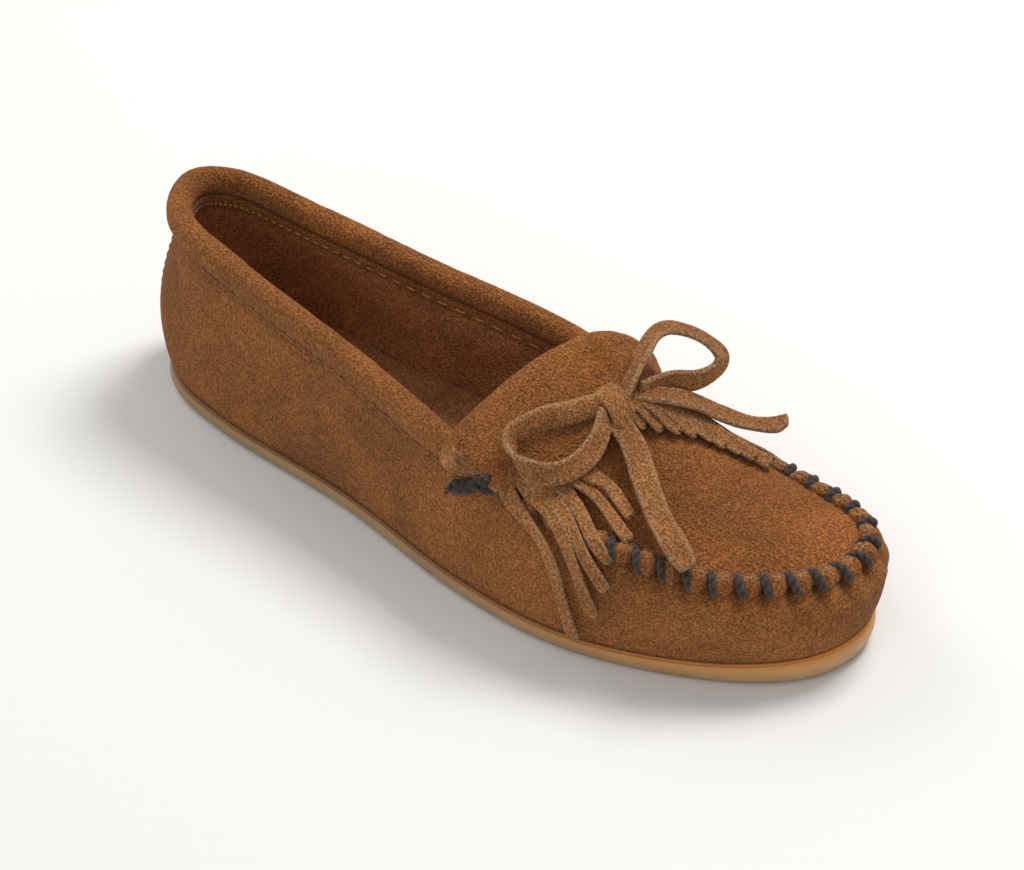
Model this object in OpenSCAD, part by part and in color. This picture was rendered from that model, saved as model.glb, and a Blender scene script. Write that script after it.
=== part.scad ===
// Suede moccasin with a rubber sole, a hand-stitched apron and a fringed kiltie tied with a bow.
// Right shoe: the toe points to +X, the outer side is -Y, the floor is z = 0.

/* [Sole] */
// Length of the sole from heel to toe
sole_length = 250; // [235:1:270]
// Width of the sole across the ball of the foot
sole_width = 88; // [80:1:96]
// Thickness of the rubber sole
sole_thickness = 5.2; // [4:0.2:7]
// Height that the toe end of the sole lifts off the floor
toe_spring = 4.5; // [2:0.5:7]

/* [Upper] */
// Height of the upper at the back of the heel, below the padded collar
heel_height = 65.4; // [60:0.2:72]
// Thickness of the suede
suede = 1.4; // [1:0.1:1.8]
// Rise of the instep above the sides of the throat
instep_rise = 18; // [14:1:21]

/* [Trim] */
// Number of hand stitches around the apron
whip_stitches = 27; // [20:1:32]
// Width of the fringe strips
fringe_width = 3.6; // [2.6:0.1:4]
// Width of the suede lace
lace_width = 6; // [4.5:0.5:6.5]
// Thickness of the suede lace
lace_thickness = 2; // [1.6:0.2:2.4]

/* [Hidden] */

suede_colour = [0.60, 0.40, 0.24];
lining_colour = [0.42, 0.28, 0.17];
sole_colour = [0.66, 0.50, 0.36];
thread_colour = [0.17, 0.17, 0.20];
scale_x = sole_length / 250;
scale_y = sole_width / 88;
scale_z = heel_height / 65.4;
crepe = 1;
board = 1.6;
foam = 3;
liner = 1;
lining = 0.8;
counter = 1;
up = [0, 0, 1];
// Moves the finished shoe so that its origin is under the middle of its length and width
CENTRE = [0, 3.7, 0];

// The shoe's shape at 16 stations around the sole: 0 is the heel, 4 the outer throat, 8 the toe,
// 12 the inner throat. Each row: sole edge x, y; upper's top edge x, y, z; how far the side
// bulges low down and high up; and how sharply its shoulder turns in.
STATIONS = [
    [-125, 0, -117.2, 0, 65.4, 9, 1, 0.30],
    [-113, -19, -108, -15, 64.2, 7, 1, 0.30],
    [-85, -28, -81, -22, 61, 3.5, 1.5, 0.30],
    [-35, -33.5, -33, -29, 55, 2, 2, 0.30],
    [15, -44, 14, -37.5, 49, 2, 3, 0.25],
    [55, -45, 53, -39, 42.5, 3, 6, 0.18],
    [95, -32, 91, -29.5, 36, 4, 8, 0.15],
    [119, -14, 112, -11, 33.5, 5, 8, 0.15],
    [124.5, 8, 119, 6, 33, 5, 8, 0.15],
    [112, 26, 111.5, 19.5, 33.5, 5, 8, 0.15],
    [85, 37, 87, 22.5, 35, 4, 10, 0.15],
    [50, 41, 54, 16.5, 41.5, 3, 9, 0.18],
    [0, 31, 10, 26.5, 46, 2, 3, 0.25],
    [-50, 27, -46, 20.5, 53.5, 2, 2, 0.30],
    [-90, 29, -84, 16, 59, 3, 1.5, 0.30],
    [-114, 20, -108.5, 11.5, 63.2, 5, 1, 0.30]];
STATION_SCALE = [scale_x, scale_y, scale_x, scale_y, scale_z, 1, 1, 1];

// Rise of the instep above the apron seam at stations 4 to 8
CROWN = [instep_rise, 10, 5, 2.2, 0];

function unit(v) = v / norm(v);
function mix(a, b, k) = a + (b - a) * k;
function clip(x, low, high) = min(max(x, low), high);
function last(list) = list[len(list) - 1];

// Smooth curve through b and c, with neighbours a and d (Catmull-Rom)
function blend(a, b, c, d, u) =
    (2 * b + (c - a) * u + (2 * a - 5 * b + 4 * c - d) * u * u + (3 * b - a - 3 * c + d) * u * u * u) / 2;
function station(k) = let(row = STATIONS[(floor(k) % 16 + 16) % 16])
    [for (i = [0:7]) row[i] * STATION_SCALE[i]];
function shape_at(t) = let(k = floor(t))
    blend(station(k - 1), station(k), station(k + 1), station(k + 2), t - k);
function end_point(p, k) = k < 0 ? 2 * p[0] - p[1] : k >= len(p) ? 2 * last(p) - p[len(p) - 2] : p[k];
function along(p, t) = let(k = clip(floor(t), 0, len(p) - 2))
    blend(end_point(p, k - 1), p[k], p[k + 1], end_point(p, k + 2), t - k);

// The floor of the shoe, outward direction and side wall at station t; s runs from the sole (0)
// to the top edge (1), as a cubic Bezier curve
function spring_at(x) = toe_spring * pow(max(0, (x / scale_x - 60) / 65), 2);
function outward(t) = let(d = shape_at(t + 0.03) - shape_at(t - 0.03)) unit([d[1], -d[0], 0]);
// The toe lifts less at the floor than at the top of the sole, which is thicker there
function sole_edge(t, inset, z) = let(r = shape_at(t), p = [r[0], r[1], 0] - outward(t) * inset)
    [p[0], p[1], z + spring_at(p[0]) * mix(0.25, 1, min(1, z / sole_thickness))];
function wall(t, s) = let(
    r = shape_at(t), n = outward(t),
    a = sole_edge(t, 1.2, sole_thickness + crepe), d = [r[2], r[3], r[4]],
    rise = (d[2] - a[2]) * up,
    b = a + n * r[5] + rise * 0.4,
    c = d + n * r[6] - rise * r[7],
    q = 1 - s)
    q * q * q * a + 3 * s * q * q * b + 3 * s * s * q * c + s * s * s * d;
function wall_normal(t, s) = unit(cross(
    wall(t + 0.03, s) - wall(t - 0.03, s),
    wall(t, min(s + 0.03, 1)) - wall(t, max(s - 0.03, 0))));
function wall_layer(t, s, depth) = wall(t, s) - wall_normal(t, s) * depth;

// The inner-side station that faces outer-side station t across the apron
function facing(t) = 16 - t - 0.14 * max(0, 8 - t);
// The instep: w runs from -2 (outer sole edge) over the seams at -1 and 1 to 2 (inner sole edge)
function crown_at(t) = t < 4 ? instep_rise + (4 - t) * 6
    : along([for (c = CROWN) [c, 0]], min(t, 8) - 4)[0];
function instep(t, w) = let(
    p = mix(wall(t, 1), wall(facing(t), 1), (w + 1) / 2),
    lean = 1 + 0.5 * w * clip((8 - t) / 4, 0, 1))
    p + up * crown_at(t) * pow(max(0, 1 - w * w), 0.75) * lean;
function skin(t, w, lift) = let(
    side = w < 0 ? t : facing(t),
    p = abs(w) > 1 ? wall(side, 2 - abs(w)) : instep(t, w),
    k = clip((abs(w) - 0.75) * 2, 0, 1),
    out = unit(outward(side) * k * k * (3 - 2 * k) + up * (1 - k * k * (3 - 2 * k))))
    p + out * lift;

// Faces of a tube of n rings with m points each, either joined end to end or capped
function quad(a, b, c, d) = [[a, b, c], [a, c, d]];
function flat(lists) = [for (l = lists) each l];
function tube_faces(n, m, closed) = concat(
    flat([for (i = [0:n - (closed ? 1 : 2)], j = [0:m - 1])
        let(k = (j + 1) % m, e = (i + 1) % n)
        quad(i * m + j, i * m + k, e * m + k, e * m + j)]),
    closed ? [] : flat([for (j = [0:m / 2 - 2]) concat(
        quad(j + 1, j, m - 1 - j, m - 2 - j),
        let(z = (n - 1) * m) quad(z + j, z + j + 1, z + m - 2 - j, z + m - 1 - j))]));
module tube(rings, closed = false) {
    translate(CENTRE) polyhedron(points = flat(rings), faces = tube_faces(len(rings), len(rings[0]), closed));
}
// Several separate tubes, all with the same number of rings and points, as one set of points
module tubes(list) {
    n = len(list[0]);
    m = len(list[0][0]);
    one = tube_faces(n, m, false);
    translate(CENTRE) polyhedron(
        points = flat([for (rings = list) flat(rings)]),
        faces = flat([for (k = [0:len(list) - 1]) [for (f = one) [for (v = f) v + k * n * m]]]));
}

// A flat layer that follows the sole's outline, from z = low to z = high
function layer_ring(inset, z, n) = [for (i = [0:n - 1]) sole_edge(16 * (i + 0.5) / n, inset, z)];
module sole_layer(levels, n) {
    tube([for (l = levels) layer_ring(l[0], l[1], n)]);
}

// A strap's cross-section: eight points of a rounded bar, w wide along side and h thick
function bar(p, side, rise, w, h) = [for (c = [[-0.5, -0.25], [-0.4, -0.5], [0.4, -0.5], [0.5, -0.25],
    [0.5, 0.25], [0.4, 0.5], [-0.4, 0.5], [-0.5, 0.25]]) p + side * c[0] * w + rise * c[1] * h];
// A strap along a route, with its broad face turned to the directions in faces
function strap(route, faces, n, w, h) = [for (i = [0:n])
    let(
        t = i * (len(route) - 1) / n,
        d = unit(along(route, t + 0.02) - along(route, t - 0.02)),
        side = unit(cross(d, along(faces, t))))
    bar(along(route, t), side, cross(side, d), w, h)];

// One short straight stitch from a to b, as a thin bar that stands up from the surface by rise
function stitch(a, b, rise, w) = let(side = unit(cross(b - a, rise)) * w / 2)
    [for (p = [a, b]) [p - side, p + side, p + side + rise, p - side + rise]];

module outsole() {
    color(sole_colour) {
        tread = 1.2;
        grip = 6;
        sole_layer([[1.6, tread], [0.4, 2], [0, 3.2], [0.4, 4.6], [1, sole_thickness]], 88);
        tube([for (i = [0:87]) let(t = 16 * (i + 0.5) / 88)
            [sole_edge(t, 1.9, 0), sole_edge(t, 5, 0), sole_edge(t, 5, tread), sole_edge(t, 1.9, tread)]],
            closed = true);
        tubes([for (t = [0.9:0.22:2.2]) tread_bar(t, 0.14, tread, grip)]);
        tubes([for (t = [3.6:0.2:7]) tread_bar(t, 0.13, tread, grip)]);
    }
}
// One bar of the tread, across the sole from side to side
function tread_bar(t, width, height, inset) = [for (e = [t, t + width / 2, t + width])
    let(a = sole_edge(e, inset, 0), b = sole_edge(16 - e, inset, 0))
    [a, b, b + up * height, a + up * height]];

module crepe_band() {
    z = sole_thickness;
    color([0.72, 0.47, 0.20]) sole_layer([[1.1, z], [0.5, z + crepe / 2], [1.2, z + crepe]], 88);
}

module insole_board() {
    z = sole_thickness + crepe;
    color([0.80, 0.72, 0.58]) sole_layer([[4.2, z], [4.2, z + board]], 56);
}

module insole_foam() {
    z = sole_thickness + crepe + board;
    color([0.90, 0.88, 0.80]) sole_layer([[4.4, z], [4, z + foam / 2], [4.4, z + foam]], 56);
}

module sock_liner() {
    z = sole_thickness + crepe + board + foam;
    color(lining_colour) sole_layer([[4.2, z], [4.4, z + liner]], 56);
}

// Share of the side's height below the collar: the collar covers the top tenth of the quarters
function side_top(t) = 1 - 0.1 * clip((abs(t - 7.8) - 3.7) / 0.5, 0, 1);
module vamp_wrap() {
    n = 88;
    steps = 7;
    color(suede_colour) tube([for (i = [0:n - 1])
        let(t = 16 * (i + 0.5) / n, top = side_top(t)) concat(
            [for (j = [0:steps]) wall(t, top * j / steps)],
            [for (j = [steps:-1:0]) wall_layer(t, top * j / steps, suede)])], closed = true);
}

module quarter_lining() {
    steps = 5;
    from = 11.55;
    to = 19.9;
    n = 60;
    color(lining_colour) tube([for (i = [0:n])
        let(t = mix(from, to, i / n) % 16, top = side_top(t)) concat(
            [for (j = [0:steps]) wall_layer(t, mix(0.02, top, j / steps), suede + counter)],
            [for (j = [steps:-1:0]) wall_layer(t, mix(0.02, top, j / steps), suede + counter + lining)])]);
}

module heel_counter() {
    steps = 4;
    n = 20;
    color([0.75, 0.68, 0.55]) tube([for (i = [0:n])
        let(t = mix(14.4, 17.6, i / n) % 16, top = 0.55 + 0.15 * sin(180 * i / n)) concat(
            [for (j = [0:steps]) wall_layer(t, mix(0.1, top, j / steps), suede)],
            [for (j = [steps:-1:0]) wall_layer(t, mix(0.1, top, j / steps), suede + counter)])]);
}

BACKSTAY = [0.03, 0.74];
module heel_backstay() {
    n = 10;
    color(suede_colour) tube([for (i = [0:n])
        let(s = mix(BACKSTAY[0], BACKSTAY[1], i / n), half = 0.42 - 0.16 * i / n) concat(
            [for (j = [-2:2]) wall_layer((16 + j * half / 2) % 16, s, -0.1)],
            [for (j = [2:-1:-2]) wall_layer((16 + j * half / 2) % 16, s, abs(j) == 2 ? -0.9 : -suede)])]);
}

module backstay_stitches() {
    color(suede_colour) tubes([for (i = [0:11], k = [-1, 1])
        let(
            s = mix(BACKSTAY[0] + 0.03, BACKSTAY[1] - 0.06, i / 11),
            t = (16 + k * (0.42 - 0.16 * i / 11) * 0.8) % 16)
        stitch(wall_layer(t, s, -suede), wall_layer(t, s + 0.035, -suede), wall_normal(t, s) * 0.4, 0.7)]);
}

// The collar runs from the inner throat around the heel to the outer throat
COLLAR = [11.52, 20.05];
function collar_t(k) = mix(COLLAR[0], COLLAR[1], k) % 16;
function collar_size(k) = 0.72 + 0.28 * clip(min(k, 1 - k) * 25, 0, 1);
// Points across the collar: [outward, up] from the upper's top edge. Below the edge they follow the
// side wall, so that the legs of the collar lie flat against it.
function collar_point(k, c) = let(
    t = collar_t(k), size = collar_size(k), r = shape_at(t), h = c[1] * size,
    slope = 3 * r[7] * (r[4] - sole_thickness - crepe))
    wall(t, 1 + min(0, h) / slope) + outward(t) * c[0] * size + up * max(0, h);
function collar_ring(k, section) = [for (c = section) collar_point(k, c)];
CUFF = [[1.1, -8.8], [1.6, -5.6], [3.4, -2.8], [3.8, 0.8], [2.2, 3.6], [0, 4.3], [-2.2, 3.6], [-3.8, 0.8],
    [-4.1, -8.8], [-3.4, -8.8], [-2.9, 0], [-1.4, 2.6], [1.4, 2.6], [2.9, -0.8], [1.4, -4.2], [0.3, -8.8]];
module collar_cuff() {
    n = 64;
    color(suede_colour) tube([for (i = [0:n]) collar_ring(i / n, CUFF)]);
}

module collar_padding() {
    n = 44;
    color([0.85, 0.82, 0.75]) tube([for (i = [0:n]) collar_ring(0.01 + 0.98 * i / n,
        [[0.9, -4.6], [1.4, -3.4], [2.2, -1.8], [1.2, -1.3], [-1.2, -1.3], [-2.3, -1.8], [-2.5, -3.4],
            [-2.5, -4.6]])]);
}

module collar_lace() {
    n = 44;
    color(suede_colour) tube([for (i = [0:n]) collar_ring(0.01 + 0.98 * i / n,
        [[0.9, -1], [1, -0.4], [1, 1.8], [0.5, 2.3], [-0.5, 2.3], [-1, 1.8], [-1, -0.4], [-0.9, -1]])]);
}

// A row of machine stitches along the collar at a given place on its section
module collar_stitches(count, out, height, rise) {
    place = [out, height];
    color([0.50, 0.34, 0.20]) tubes([for (i = [0:count - 1]) let(k = 0.02 + 0.96 * i / count)
        stitch(collar_point(k, place), collar_point(k + 0.55 / count, place),
            outward(collar_t(k)) * rise, 0.7)]);
}
module collar_stitch_outer() {
    collar_stitches(84, 1.45, -6.4, 0.4);
}
module collar_stitch_inner() {
    collar_stitches(76, -4.05, -7, -0.4);
}

APRON = [3.95, 7.84];
// A thin sheet under or over the instep, between lifts low and high
module instep_sheet(from, to, reach, low, high, n) {
    across = [for (j = [-6:6]) sin(90 * j / 6) * reach];
    tube([for (i = [0:n]) let(t = mix(from, to, i / n)) concat(
        [for (w = across) instep(t, w) + up * low],
        [for (j = [12:-1:0]) instep(t, across[j]) + up * high])]);
}
module apron() {
    color(suede_colour) instep_sheet(APRON[0], APRON[1], 0.985, -suede, 0, 22);
}
module apron_lining() {
    color(lining_colour) instep_sheet(APRON[0] + 0.05, 5.6, 0.93, -suede - lining, -suede, 10);
}

// The apron seam from the outer throat around the toe to the inner throat, by its length
SEAM = [4.3, facing(4.3)];
SEAM_STEPS = 120;
function seam_t(i) = mix(SEAM[0], SEAM[1], i / SEAM_STEPS);
function seam_step(i) = norm(wall(seam_t(i + 1), 1) - wall(seam_t(i), 1));
function seam_lengths(i = 0, total = 0) = i > SEAM_STEPS ? []
    : concat([[total, seam_t(i)]], seam_lengths(i + 1, total + seam_step(i)));
seam_table = seam_lengths();
seam_length = last(seam_table)[0];
function seam_at(k) = lookup(k * seam_length, seam_table);

// The vamp's edge is gathered into puckers, one between each two stitches
module gathered_edge() {
    n = whip_stitches * 4;
    color(suede_colour) tube([for (i = [0:n]) let(
        t = seam_at(i / n), p = wall(t, 1), out = outward(t),
        puff = 0.86 - 0.14 * cos(360 * i * whip_stitches / n))
        [for (c = [[-1.6, -0.4], [-0.9, 2.4], [0.6, 3.3], [2.4, 2], [3, 0.2], [1, -0.5]])
            p + (out * c[0] + up * c[1]) * puff]]);
}

module whip_stitching() {
    color(thread_colour) tubes([for (i = [1:whip_stitches]) let(
        k = (i - 0.5) / whip_stitches, step = 0.14 / whip_stitches)
        [for (j = [0:5]) let(
            t = seam_at(k + (j - 2.5) * step), out = outward(t), a = 200 - 44 * j,
            rise = unit(out * cos(a) + up * sin(a)),
            p = wall(t, 1) + out * (0.8 + 3.2 * cos(a)) + up * (0.4 + 3.4 * sin(a)),
            side = unit(cross(out, up)))
            [for (c = [0:5]) p + side * cos(-60 * c) + rise * sin(-60 * c)]]]);
}

// A rounded lump: rings of twelve points that shrink towards both ends along an axis
function lump(centre, axis, size) = let(
    a = unit(axis), b = unit(cross(a, [0.3, 0.2, 1])), c = cross(b, a))
    [for (i = [0:6]) let(h = -80 + i * 160 / 6, middle = centre + a * size[0] * sin(h))
        [for (k = [0:11]) middle + (b * size[1] * cos(30 * k) + c * size[2] * sin(30 * k)) * cos(h)]];

// The thread's knot at the outer throat, with its frayed end
module whip_knot() {
    base = skin(4.3, -1.12, 1.4);
    ends = [[0, 0, 0], [-3, -1.4, -0.6], [-6, -2.4, -1.8], [-9, -3, -3.6], [-11, -3.4, -5.6]];
    color(thread_colour) {
        tube(lump(base, [1, 0, 0.3], [2.6, 2.2, 2]));
        tube(strap([for (e = ends) base + [-2.6, -2.4, 0] + e], [for (e = ends) [0, -1, 0]], 8, 2.2, 2));
    }
}

// Where the flap ends and its fringe begins, by the place w across the instep
FLAP_EDGE = [[-1.06, 4.42], [-0.94, 4.58], [-0.8, 4.8], [-0.6, 4.92], [-0.4, 4.76], [0.3, 4.56],
    [0.8, 4.6], [1.1, 4.62]];
// Height of the flap's top above the instep: it stands off the inner side near the fold
function flap_lift(t, w) = 4.6
    + (7 * clip((w - 0.2) / 0.6, 0, 1) - 2.5 * clip((w - 0.85) / 0.3, 0, 1)) * clip((4.5 - t) / 0.6, 0, 1);
// The kiltie is folded at the throat: an under layer and a top layer, seen from the side
module kiltie_flap() {
    n = 26;
    leaf = 1.2;
    color(suede_colour) tube([for (i = [0:n]) let(
        w = mix(-1.06, 1.1, i / n), front = lookup(w, FLAP_EDGE), top = flap_lift(3.9, w), low = 1.5)
        concat(
            [for (c = [[4.35, low], [4.02, low], [3.93, low + 0.5], [3.9, (low + top) / 2],
                [3.93, top - 0.5]]) skin(c[0], w, c[1])],
            [for (t = [4.02, 4.25, front]) skin(t, w, flap_lift(t, w))],
            [for (t = [front, 4.25, 4.06]) skin(t, w, flap_lift(t, w) - leaf)],
            [for (c = [[4, (low + top) / 2], [4.06, low + leaf], [4.35, low + leaf]]) skin(c[0], w, c[1])])]);
}

// Fringe strips: root t, w; middle t, w; tip t, w
FRINGE_LATERAL = [
    [[4.5, -1.02], [4.9, -1.24], [5.12, -1.93]],
    [[4.6, -0.94], [5, -1.08], [5.26, -1.65]],
    [[4.68, -0.88], [5.05, -1.02], [5.34, -1.36]],
    [[4.77, -0.81], [5.08, -0.94], [5.34, -1.11]],
    [[4.82, -0.7], [5.09, -0.77], [5.41, -0.93]],
    [[4.86, -0.6], [5.05, -0.6], [5.3, -0.73]]];
FRINGE_MEDIAL = [
    [[4.56, 0.14], [4.66, 0.18], [4.75, 0.2]],
    [[4.56, 0.26], [4.69, 0.3], [4.82, 0.32]],
    [[4.56, 0.38], [4.73, 0.42], [4.9, 0.44]],
    [[4.57, 0.49], [4.77, 0.55], [4.97, 0.56]],
    [[4.58, 0.58], [4.82, 0.65], [5.06, 0.66]],
    [[4.58, 0.67], [4.87, 0.71], [5.16, 0.69]],
    [[4.59, 0.75], [4.93, 0.78], [5.27, 0.75]],
    [[4.6, 0.82], [5, 0.83], [5.42, 0.76]],
    [[4.6, 0.89], [5.05, 0.88], [5.56, 0.79]],
    [[4.6, 0.96], [5, 0.98], [5.4, 1.02]],
    [[4.58, 1.03], [4.95, 1.24], [5.2, 1.56]],
    [[4.58, 1.1], [4.88, 1.34], [5.05, 1.72]]];
function strip(f, n) =
    [for (i = [0:n]) let(
        k = i / n, c = along(f, 2 * k), e = along(f, 2 * k + 0.04),
        lift = mix(flap_lift(f[0][0], f[0][1]) - 0.7, 3.4, k),
        p = skin(c[0], c[1], lift),
        d = unit(skin(e[0], e[1], lift) - p),
        face = unit(skin(c[0], c[1], lift + 1) - p),
        side = unit(cross(d, face)) * fringe_width / 2 * (i == n ? 0.55 : 1),
        rise = unit(cross(side, d)) * suede / 2)
        [p - side - rise, p + side - rise, p + side + rise, p - side + rise]];
module fringe(strips) {
    color(suede_colour) tubes([for (f = strips) strip(f, 9)]);
}
module fringe_lateral() {
    fringe(FRINGE_LATERAL);
}
module fringe_medial() {
    fringe(FRINGE_MEDIAL);
}

// The lace comes out of the collar and runs between apron and kiltie to the bow
module lace_run(route) {
    color(suede_colour) tube(strap(
        [for (r = route) skin(r[0], r[1], r[2])],
        [for (r = route) skin(r[0], r[1], r[2] + 1) - skin(r[0], r[1], r[2])], 14, lace_width, 1.2));
}
module lace_run_lateral() {
    lace_run([[3.95, -1.05, 4.6], [4.05, -1.05, 5.2], [4.18, -1, 3.6], [4.3, -0.8, 0.75], [4.45, -0.4, 0.75],
        [4.52, -0.15, 0.75]]);
}
module lace_run_medial() {
    lace_run([[4.1, 1.04, 4.6], [4.2, 0.96, 2.5], [4.32, 0.75, 0.75], [4.45, 0.4, 0.75], [4.52, 0.12, 0.75]]);
}

// The bow, each piece along its route with the direction that its broad face looks
KNOT = [44.5, -9, 62.3];
module bow_knot() {
    route = [[41.5, -7.5, 60.5], [40.2, -8, 63.5], [42.3, -8.5, 66], [46.5, -9.3, 65.8], [50, -10.3, 63.3],
        [51.3, -10.5, 60]];
    faces = [[-1, 0, 0], [-0.9, 0, 0.5], [-0.3, 0, 1], [0.4, -0.1, 1], [0.9, -0.2, 0.5], [1, 0, -0.2]];
    color(suede_colour) {
        tube(strap(route, faces, 12, lace_width + 1, lace_thickness));
        tube(lump(KNOT, [0, 1, 0], [5, 3.2, 2.6]));
    }
}
module lace(route, faces, n) {
    color(suede_colour) tube(strap(route, faces, n, lace_width, lace_thickness));
}
LOOP_LATERAL = [[45, -10, 64], [39, -21, 64.5], [33, -27, 63], [29, -34.5, 60], [34, -39, 57],
    [41.5, -39, 56], [47, -34, 56], [49.5, -27.5, 58], [49.5, -21, 61], [46.5, -14, 63.5]];
LOOP_LATERAL_FACES = [[-0.7, 0.44, -0.43], [-0.7, 0.45, -0.4], [-0.65, 0.4, -0.4], [-0.54, 0, -0.23],
    [-0.87, -0.46, -0.17], [0, -0.9, 0.3], [0.5, -0.7, 0.45], [0.7, -0.45, 0.43], [0.85, -0.2, 0.4],
    [0.8, 0.1, 0.3]];
LOOP_MEDIAL = [[46.5, -5, 64.5], [46.5, -1, 68], [46, 4.5, 71.5], [44, 12, 73], [45, 18.5, 73],
    [50, 23, 71], [55, 25.5, 68], [59, 26, 64.5], [59, 23, 61.5], [56.5, 17, 60.5], [51.5, 11, 61.5],
    [48.5, 0, 63]];
LOOP_MEDIAL_FACES = [[-0.6, -0.6, 0.5], [-0.7, -0.4, 0.6], [-0.7, -0.2, 0.8], [-0.5, 0, 1], [-0.1, 0.2, 1],
    [0.3, 0.5, 0.9], [0.8, 0.6, 0.5], [1, 0.2, 0.2], [0.9, -0.3, -0.1], [0.7, -0.6, 0], [0.5, -0.7, 0.1],
    [0.4, -0.6, 0.2]];
TAIL_LATERAL = [[44, -8, 62], [50, -12, 60.5], [57, -15, 57.5], [65, -21, 53.5], [74, -27, 48.5],
    [82, -31, 45.5], [89, -34, 42]];
TAIL_LATERAL_FACES = [[0.2, 0, 1], [0.3, -0.2, 1], [0.3, -0.3, 1], [0.2, -0.3, 1], [0.2, -0.3, 1],
    [0.3, -0.4, 1], [0.4, -0.5, 0.9]];
TAIL_MEDIAL = [[45, -1, 62.5], [49, 1, 62.5], [54, 6, 60.5], [58.5, 12, 57], [64, 19, 50.5],
    [70, 25, 46], [76, 29, 45.5], [79, 31, 47.5]];
TAIL_MEDIAL_FACES = [[0.1, 0.1, 1], [0.2, 0.1, 1], [0.3, 0.2, 1], [0.4, 0.3, 0.9], [0.4, 0.3, 0.8],
    [0.2, 0.3, 1], [0, 0.1, 1], [-0.4, -0.2, 1]];
module lace_loop_lateral() {
    lace(LOOP_LATERAL, LOOP_LATERAL_FACES, 26);
}
module lace_loop_medial() {
    lace(LOOP_MEDIAL, LOOP_MEDIAL_FACES, 26);
}
module lace_tail_lateral() {
    lace(TAIL_LATERAL, TAIL_LATERAL_FACES, 16);
}
module lace_tail_medial() {
    lace(TAIL_MEDIAL, TAIL_MEDIAL_FACES, 16);
}

outsole();
crepe_band();
insole_board();
insole_foam();
sock_liner();
vamp_wrap();
quarter_lining();
heel_counter();
heel_backstay();
backstay_stitches();
collar_cuff();
collar_padding();
collar_lace();
collar_stitch_outer();
collar_stitch_inner();
apron();
apron_lining();
gathered_edge();
whip_stitching();
whip_knot();
kiltie_flap();
fringe_lateral();
fringe_medial();
lace_run_lateral();
lace_run_medial();
bow_knot();
lace_loop_lateral();
lace_loop_medial();
lace_tail_lateral();
lace_tail_medial();
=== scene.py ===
# A brown suede moccasin, right foot: rubber sole, one-piece wrap, hand-stitched apron, rolled collar,
# and a folded, fringed kiltie held down by a suede lace tied in a bow. Shapes are worked out in
# millimetres and turned into metres as each mesh is made; lace routes are in metres.
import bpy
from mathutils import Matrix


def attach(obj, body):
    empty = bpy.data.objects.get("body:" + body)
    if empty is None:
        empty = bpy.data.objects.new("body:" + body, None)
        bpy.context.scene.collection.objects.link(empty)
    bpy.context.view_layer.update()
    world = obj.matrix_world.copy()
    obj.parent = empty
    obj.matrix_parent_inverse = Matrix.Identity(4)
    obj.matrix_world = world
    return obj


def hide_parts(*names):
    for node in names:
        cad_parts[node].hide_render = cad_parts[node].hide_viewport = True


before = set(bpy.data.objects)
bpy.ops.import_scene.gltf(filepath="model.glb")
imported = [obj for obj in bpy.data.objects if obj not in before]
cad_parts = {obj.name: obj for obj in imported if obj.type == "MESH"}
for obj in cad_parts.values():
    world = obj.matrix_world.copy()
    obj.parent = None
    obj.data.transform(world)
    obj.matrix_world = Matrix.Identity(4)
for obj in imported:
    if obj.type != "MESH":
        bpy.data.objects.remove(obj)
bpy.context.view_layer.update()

import math
import bpy
import numpy as np
from mathutils import Vector

MM = 0.001

# ---------------------------------------------------------------- Camera, floor and studio light
# The shoe stands on a white paper sweep, lit by one large soft light behind it and two weak ones.
# The camera looks down on the outer side from in front of the toe.
scene = bpy.context.scene
AIM = Vector((0, 3.7, 30)) * MM
AZIMUTH, ELEVATION, DISTANCE = math.radians(36.47), math.radians(38.93), 1056 * MM
towards = Vector((math.sin(AZIMUTH) * math.cos(ELEVATION), -math.cos(AZIMUTH) * math.cos(ELEVATION),
                  math.sin(ELEVATION)))
camera = bpy.data.objects.new("camera", bpy.data.cameras.new("camera"))
camera.location = AIM + towards * DISTANCE
camera.rotation_euler = (-towards).to_track_quat("-Z", "Y").to_euler()
camera.data.lens = 125.9
camera.data.sensor_width = 36
camera.data.shift_x = 0.0101
camera.data.shift_y = -0.0154
camera.data.dof.use_dof = False
camera.data.clip_start = 0.05
scene.collection.objects.link(camera)
scene.camera = camera


def area_light(name, place, size, power, colour=(1, 1, 1)):
    """A square soft box that faces the shoe."""
    light = bpy.data.objects.new(name, bpy.data.lights.new(name, "AREA"))
    light.data.size, light.data.energy, light.data.color = size, power, colour
    light.location = place
    light.rotation_euler = (AIM - Vector(place)).to_track_quat("-Z", "Y").to_euler()
    scene.collection.objects.link(light)


area_light("key", (0.15, 0.60, 1.2), 0.5, 13, (1, 0.985, 0.96))
area_light("fill", (0.3, -1.2, 1.0), 1.2, 4.6)
area_light("side", (-1.1, 0.1, 0.9), 0.8, 4, (1, 0.99, 0.97))

world = bpy.data.worlds.new("studio")
world.use_nodes = True
world.node_tree.nodes["Background"].inputs["Color"].default_value = (1, 1, 1, 1)
world.node_tree.nodes["Background"].inputs["Strength"].default_value = 0.46
scene.world = world
scene.view_settings.view_transform = "Standard"


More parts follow.
